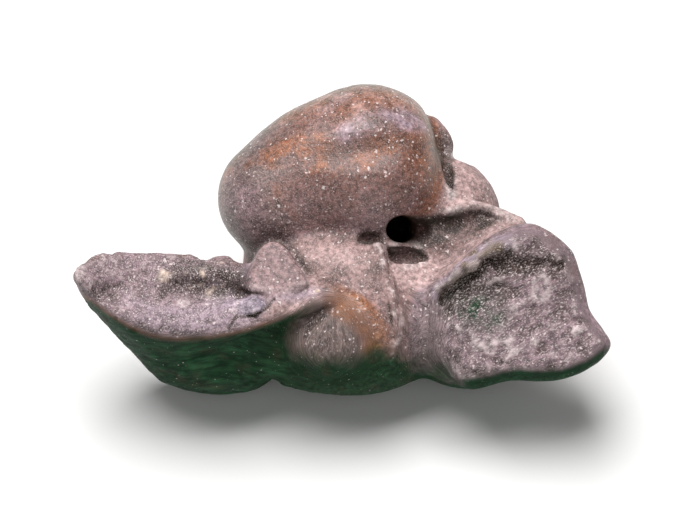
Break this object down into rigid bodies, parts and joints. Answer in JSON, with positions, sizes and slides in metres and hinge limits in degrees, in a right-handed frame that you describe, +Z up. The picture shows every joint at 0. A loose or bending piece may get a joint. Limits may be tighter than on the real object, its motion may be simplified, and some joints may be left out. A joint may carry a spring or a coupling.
{
  "type": "fossil dolphin ear bone",
  "caption": "Fossil dolphin periotic ear bone, a domed cochlear part between a pointed anterior process and a blunt faceted posterior process, lying on its dorsal side for display or study.",
  "frame": {"origin": "middle of the footprint of the bounding box, on the surface that the bone rests on", "axes": "+X from the anterior process toward the posterior process, +Y away from the viewer toward the cochlear part, +Z up"},
  "size_m": [0.0362, 0.0202, 0.0166],
  "materials": {
    "fossil_bone": "mineralised bone, polished reddish brown on the dome and matt pinkish grey on the processes, flecked with pale specks"
  },
  "bodies": {
    "root": {"cochlear_part": "fossil_bone", "anterior_process": "fossil_bone", "posterior_process": "fossil_bone", "body": "fossil_bone", "lateral_tuberosity": "fossil_bone", "accessory_ossicle": "fossil_bone"}
  },
  "joints": []
}
